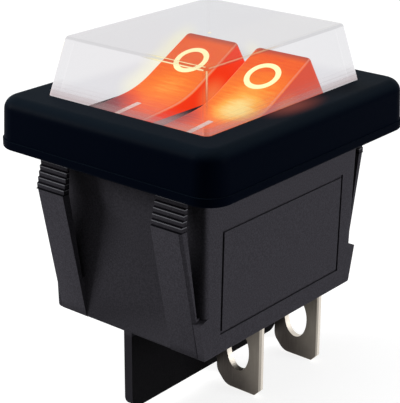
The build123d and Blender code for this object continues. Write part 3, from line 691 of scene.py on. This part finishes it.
def rolled_metal(name, colour, roughness):
    """Sheet or wire with fine drawing lines."""
    material, wiring, shader = new_material(name, Metallic=1.0)
    streak = wiring.streak(wiring.place(), ALONG_X)
    less, more = METAL_ROUGHNESS_SPREAD
    wiring.feed(shader["Base Color"], wiring.mix(streak, shade(colour, METAL_DARK), colour))
    wiring.feed(shader["Roughness"], wiring.step(
        streak, *STREAK_LEVELS, roughness - less, roughness + more))
    wiring.feed(shader["Normal"], wiring.bump(streak, STREAK_DEPTH, STREAK_BUMP))
    return material


def lamp_glass():
    """Lamp glass that glows redder at its foot and paler at its top."""
    material, wiring, shader = new_material(
        "lamp_glass", Roughness=0.12, Base_Color=(0.9, 0.5, 0.2, 1.0), Alpha=0.6)
    height = wiring.step(wiring.parts(wiring.place())["Z"], *LAMP_GLOW_Z)
    light_up(wiring, shader, wiring.ramp(height, LAMP_COLOURS), LAMP_GLOW)
    return material


def paint(material, *names):
    """Gives a finish to CAD nodes or pieces by name."""
    for name in names:
        target = bpy.data.objects[name]
        target.data.materials.clear()
        target.data.materials.append(material)


def both(name):
    """The left and right names of a piece that each side has."""
    return [f"{side}_{name}" for side in SIDES]


def pick_none():
    """Leaves nothing selected, so that an operator acts on its own piece alone."""
    bpy.ops.object.select_all(action="DESELECT")


def merged_copy(node, piece, flat_angle):
    """A copy that stands for a rigid node and rides on its body, with its triangles merged."""
    pick_none()
    source = frame["nodes"][node]
    source.select_set(True)
    bpy.context.view_layer.objects.active = source
    bpy.ops.object.duplicate()
    made = bpy.context.active_object
    made.name = piece
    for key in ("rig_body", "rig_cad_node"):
        del made[key]
    made.parent = None
    bpy.ops.object.mode_set(mode="EDIT")
    bpy.ops.mesh.select_all(action="SELECT")
    bpy.ops.mesh.remove_doubles(threshold=MERGE_DISTANCE * MM)
    bpy.ops.mesh.dissolve_limited(angle_limit=math.radians(flat_angle))
    bpy.ops.object.mode_set(mode="OBJECT")
    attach(made, source["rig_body"])
    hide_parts(node)
    return made


def smooth_copy(node, piece, edge):
    """A copy that stands for a rigid node, with its sharp edges rounded."""
    made = merged_copy(node, piece, FLAT_ANGLE)
    bevel = made.modifiers.new("edge", "BEVEL")
    bevel.width = edge
    bevel.segments = BEVEL_SEGMENTS
    bevel.limit_method = "ANGLE"
    bevel.angle_limit = math.radians(BEVEL_ANGLE)
    bevel.harden_normals = True
    bevel.use_clamp_overlap = True
    bpy.ops.object.shade_smooth_by_angle(angle=math.radians(SMOOTH_ANGLE))
    bpy.ops.object.modifier_apply(modifier="edge")


def coil_spring(side):
    """A copy that stands for a plunger's spring, shaded smooth, with a mesh of its own."""
    made = merged_copy(f"{side}_plunger_spring", f"{side}_coil_spring", COIL_FLAT_ANGLE)
    bpy.ops.object.shade_smooth()
    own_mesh(made)


class SwitchLook(bpy.types.PropertyGroup):
    """Colours, edges and strengths of the finishes."""
    housing_colour: bpy.props.FloatVectorProperty(
        name="Housing colour", description="Charcoal nylon of the housing", subtype="COLOR",
        default=(0.042, 0.040, 0.048), min=0.0, max=1.0)
    housing_edge: bpy.props.FloatProperty(
        name="Housing edge", description="Width of the housing's rounded edges", unit="LENGTH",
        default=0.08 * MM, min=0.0)
    blade_edge: bpy.props.FloatProperty(
        name="Blade edge", description="Width of the blades' rounded edges", unit="LENGTH",
        default=0.05 * MM, min=0.0)
    # The rim's two colours are lit and shaded copies of one black rubber: painted light and shade
    rim_top_lit_colour: bpy.props.FloatVectorProperty(
        name="Rim colour", description="Black rubber of the cover's rim", subtype="COLOR",
        default=(0.0058, 0.0095, 0.0145), min=0.0, max=1.0)
    rim_side_shaded_colour: bpy.props.FloatVectorProperty(
        name="Rim side colour", description="Black rubber of the rim's upright sides", subtype="COLOR",
        default=(0.0005, 0.0015, 0.0045), min=0.0, max=1.0)
    dome_veil: bpy.props.FloatProperty(
        name="Dome veil", description="How dense the dome's near walls are",
        default=0.02, min=0.0, max=1.0)
    top_veil: bpy.props.FloatProperty(
        name="Top veil", description="How dense the dome's top is", default=0.13, min=0.0, max=1.0)
    edge_veil: bpy.props.FloatProperty(
        name="Edge veil", description="How dense the dome's rounded top edge is",
        default=0.2, min=0.0, max=1.0)
    foot_veil: bpy.props.FloatProperty(
        name="Foot veil", description="How milky the dome's walls are just over the rim",
        default=0.26, min=0.0, max=1.0)
    milk: bpy.props.FloatProperty(
        name="Milk", description="How dense the dome's inner side is", default=0.97, min=0.0, max=1.0)
    rocker_glow: bpy.props.FloatProperty(
        name="Rocker glow", description="Strength of the light that leaves the rockers",
        default=0.97, min=0.0)
    mark_glow: bpy.props.FloatProperty(
        name="Mark glow", description="Strength of the light that leaves the marks",
        default=1.0, min=0.0)
    rocker_centre_x: bpy.props.FloatProperty(
        name="Rocker centre", description="A rocker's middle from the switch's middle, in millimetres",
        default=sum(c.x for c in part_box("right_lamp")) / 2 / MM)


class SwitchStage(bpy.types.PropertyGroup):
    """The camera's place and the lamps."""
    azimuth: bpy.props.FloatProperty(
        name="Azimuth", description="Camera's turn round the switch", subtype="ANGLE",
        default=math.radians(39.308))
    elevation: bpy.props.FloatProperty(
        name="Elevation", description="Camera's height over the horizon", subtype="ANGLE",
        default=math.radians(21.209))
    roll: bpy.props.FloatProperty(
        name="Roll", description="Camera's roll", subtype="ANGLE", default=math.radians(0.345))
    distance: bpy.props.FloatProperty(
        name="Distance", description="Camera's distance from its target", subtype="DISTANCE",
        unit="LENGTH", default=152.174 * MM)
    slide: bpy.props.FloatVectorProperty(
        name="Slide", description="Camera's slide right and up, off its target", size=2,
        subtype="XYZ", unit="LENGTH", default=(-0.64 * MM, 0.322 * MM))
    target_z: bpy.props.FloatProperty(
        name="Target height", description="Height of the camera's target on the switch's axis",
        unit="LENGTH", default=-8 * MM)
    focal_px: bpy.props.FloatProperty(
        name="Focal length", description="Focal length in pixels of the photograph's width",
        default=1383.627)
    key_power: bpy.props.FloatProperty(
        name="Key lamp", description="Power of the large lamp off the near left corner",
        default=1.25, unit="POWER")
    side_power: bpy.props.FloatProperty(
        name="Side lamp", description="Power of the lamp on the +X side", default=0.55, unit="POWER")
    top_power: bpy.props.FloatProperty(
        name="Top lamp", description="Power of the lamp over the switch", default=0.3, unit="POWER")
    world_level: bpy.props.FloatProperty(
        name="World level", description="Brightness of the pale room", default=0.08)


class SWITCH_OT_effects(bpy.types.Operator):
    """Build the shared effects that the finishes use"""
    bl_idname = "switch.effects"
    bl_label = "Shared effects"

    def execute(self, context):
        build_grain_group()
        build_streak_group()
        build_spot_group()
        return {"FINISHED"}


class SWITCH_OT_housing(bpy.types.Operator):
    """Round the housing's edges and give it its charcoal nylon"""
    bl_idname = "switch.housing"
    bl_label = "Housing"

    def execute(self, context):
        look = context.scene.switch_look
        smooth_copy("housing", "housing_moulding", look.housing_edge)
        paint(housing_nylon(look), "housing_moulding", "housing")
        return {"FINISHED"}


class SWITCH_OT_cover(bpy.types.Operator):
    """Finish the waterproof cover: its black rim and its clear dome"""
    bl_idname = "switch.cover"
    bl_label = "Cover"

    def execute(self, context):
        look = context.scene.switch_look
        paint(seal_rubber(look), "seal_frame")
        paint(clear_vinyl(look), "clear_dome")
        return {"FINISHED"}


class SWITCH_OT_rockers(bpy.types.Operator):
    """Light the red rockers and their marks"""
    bl_idname = "switch.rockers"
    bl_label = "Rockers"

    def execute(self, context):
        look = context.scene.switch_look
        for side in SIDES:
            paint(red_lens(look, side), f"{side}_rocker")
        paint(mark_ink(look), *both("rocker_marks"))
        return {"FINISHED"}


class SWITCH_OT_terminals(bpy.types.Operator):
    """Plate the terminals and soften their stamped edges"""
    bl_idname = "switch.terminals"
    bl_label = "Terminals"

    def execute(self, context):
        plating = tab_plating()
        for node in both("center_terminal") + both("far_terminal"):
            smooth_copy(node, f"{node}_blade", context.scene.switch_look.blade_edge)
            paint(plating, f"{node}_blade", node)
        return {"FINISHED"}


class SWITCH_OT_inner_works(bpy.types.Operator):
    """Finish what the housing hides: contacts, plungers, springs, lamps and their wiring"""
    bl_idname = "switch.inner_works"
    bl_label = "Inner works"

    def execute(self, context):
        for side in SIDES:
            coil_spring(side)
        paint(plain_moulding("plunger_nylon", (0.72, 0.70, 0.64), 0.4), *both("plunger"))
        paint(rolled_metal("spring_steel", (0.55, 0.55, 0.57), 0.3),
              *both("coil_spring"), *both("plunger_spring"))
        paint(rolled_metal("contact_copper", (0.72, 0.42, 0.22), 0.32), *both("contact_bar"))
        paint(rolled_metal("contact_silver", (0.82, 0.81, 0.78), 0.22),
              *both("moving_contact"), *both("fixed_contact"))
        paint(lamp_glass(), *both("lamp"))
        paint(plain_moulding("tray_board", (0.62, 0.55, 0.42), 0.6, 2.0), *both("lamp_tray"))
        paint(plain_moulding("resistor_lacquer", (0.66, 0.5, 0.3), 0.35, 1.5), *both("resistor"))
        paint(rolled_metal("tinned_wire", (0.66, 0.66, 0.67), 0.28), *both("lamp_leads"))
        return {"FINISHED"}


def area_lamp(name, place, aim, size, power):
    """A square softbox at a place, aimed at a point; both are in millimetres."""
    pick_none()
    bpy.ops.object.light_add(type="AREA", location=[c * MM for c in place])
    lamp = bpy.context.active_object
    lamp.name = name
    lamp.data.size = size * MM
    lamp.data.energy = power
    away = Vector(place) - Vector(aim)
    lamp.rotation_euler = away.to_track_quat("Z", "Y").to_euler()


def seen_white(wiring):
    """1 for rays that look at the backdrop straight, in a mirror or through glass."""
    rays = wiring.node("ShaderNodeLightPath").outputs
    seen = wiring.most(rays["Is Camera Ray"], rays["Is Transmission Ray"])
    return wiring.most(seen, rays["Is Glossy Ray"])


def floor_paper():
    """Matt floor that takes the switch's shadow and is lifted to white where it is looked at."""
    material, wiring, shader = new_material("floor_paper", Roughness=0.9)
    grain = wiring.grain(wiring.place(), FLOOR_GRAIN_SCALE)
    wiring.feed(shader["Base Color"], wiring.mix(grain["Shade"], *FLOOR_SHADES))
    white = wiring.node("ShaderNodeEmission", {"Color": WHITE, "Strength": FLOOR_LIFT})
    none = wiring.node("ShaderNodeEmission", {"Color": WHITE, "Strength": 0.0})
    lift = wiring.node("ShaderNodeMixShader", {"Fac": seen_white(wiring)})
    wiring.feed(lift.inputs[1], none.outputs[0])
    wiring.feed(lift.inputs[2], white.outputs[0])
    total = wiring.node("ShaderNodeAddShader")
    nodes = material.node_tree.nodes
    wiring.feed(total.inputs[0], nodes["Principled BSDF"].outputs[0])
    wiring.feed(total.inputs[1], lift.outputs[0])
    wiring.feed(nodes["Material Output"].inputs["Surface"], total.outputs[0])
    return material


def lay_floor():
    """A plane just under the switch's lowest point."""
    low = min(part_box(name)[0].z for name in frame["nodes"])
    pick_none()
    bpy.ops.mesh.primitive_plane_add(size=FLOOR_SIZE, location=(0, 0, 0))
    floor = bpy.context.active_object
    floor.name = "floor"
    bpy.ops.object.mode_set(mode="EDIT")
    bpy.ops.transform.translate(value=(0, 0, low - FLOOR_GAP * MM))
    bpy.ops.object.mode_set(mode="OBJECT")
    paint(floor_paper(), "floor")


def pale_room(scene, level):
    """A world that looks white and lights the switch by its level alone."""
    world = bpy.data.worlds.new("pale_room")
    scene.world = world
    world.use_nodes = True
    wiring = Wiring(world.node_tree)
    background = world.node_tree.nodes["Background"]
    wiring.feed(background.inputs["Strength"], wiring.step(seen_white(wiring), 0.0, 1.0, level, 1.0))
    background.inputs["Color"].default_value = WHITE


def photo_camera(scene, stage):
    """The camera that sees the switch as the photograph does."""
    turn, rise, roll = stage.azimuth, stage.elevation, stage.roll
    right = Vector((math.cos(turn), math.sin(turn), 0))
    back = Vector((math.sin(turn) * math.cos(rise), -math.cos(turn) * math.cos(rise), math.sin(rise)))
    up = back.cross(right)
    right, up = (right * math.cos(roll) + up * math.sin(roll),
                 up * math.cos(roll) - right * math.sin(roll))
    target = Vector((0, 0, stage.target_z))
    place = target + right * stage.slide[0] + up * stage.slide[1] + back * stage.distance
    pick_none()
    bpy.ops.object.camera_add()
    camera = bpy.context.active_object
    camera.name = "photo_camera"
    camera.matrix_world = Matrix.Translation(place) @ Matrix((right, up, back)).transposed().to_4x4()
    camera.data.sensor_fit = "HORIZONTAL"
    camera.data.sensor_width = SENSOR
    camera.data.lens = stage.focal_px * SENSOR / PHOTO_WIDTH
    camera.data.clip_start = CLIP_START
    camera.data.clip_end = CLIP_END
    scene.camera = camera


class SWITCH_OT_stage(bpy.types.Operator):
    """Set the floor, the pale room, the lamps and the camera"""
    bl_idname = "switch.stage"
    bl_label = "Stage"

    def execute(self, context):
        scene = context.scene
        stage = scene.switch_stage
        lay_floor()
        pale_room(scene, stage.world_level)
        for name, (place, aim, size) in LAMPS.items():
            area_lamp(name, place, aim, size, getattr(stage, f"{name}_power"))
        photo_camera(scene, stage)
        scene.view_settings.view_transform = "Standard"
        return {"FINISHED"}


class SWITCH_PT_panel(bpy.types.Panel):
    """The switch's finishes and stage"""
    bl_idname = "SWITCH_PT_panel"
    bl_label = "Rocker switch"
    bl_space_type = "VIEW_3D"
    bl_region_type = "UI"
    bl_category = "Switch"

    def draw(self, context):
        for group in (context.scene.switch_look, context.scene.switch_stage):
            for name in type(group).__annotations__:
                self.layout.prop(group, name)
        for operator in STEPS:
            self.layout.operator(operator.bl_idname)


STEPS = (SWITCH_OT_effects, SWITCH_OT_housing, SWITCH_OT_cover, SWITCH_OT_rockers,
         SWITCH_OT_terminals, SWITCH_OT_inner_works, SWITCH_OT_stage)
CLASSES = (SwitchLook, SwitchStage, *STEPS, SWITCH_PT_panel)


def register():
    for made in CLASSES:
        bpy.utils.register_class(made)
    bpy.types.Scene.switch_look = bpy.props.PointerProperty(type=SwitchLook)
    bpy.types.Scene.switch_stage = bpy.props.PointerProperty(type=SwitchStage)


def unregister():
    del bpy.types.Scene.switch_look
    del bpy.types.Scene.switch_stage
    for made in reversed(CLASSES):
        bpy.utils.unregister_class(made)


def main():
    """Dresses the switch, one piece after another."""
    register()
    bpy.ops.switch.effects()
    bpy.ops.switch.housing()
    bpy.ops.switch.cover()
    bpy.ops.switch.rockers()
    bpy.ops.switch.terminals()
    bpy.ops.switch.inner_works()
    bpy.ops.switch.stage()


if __name__ == "__main__":
    main()
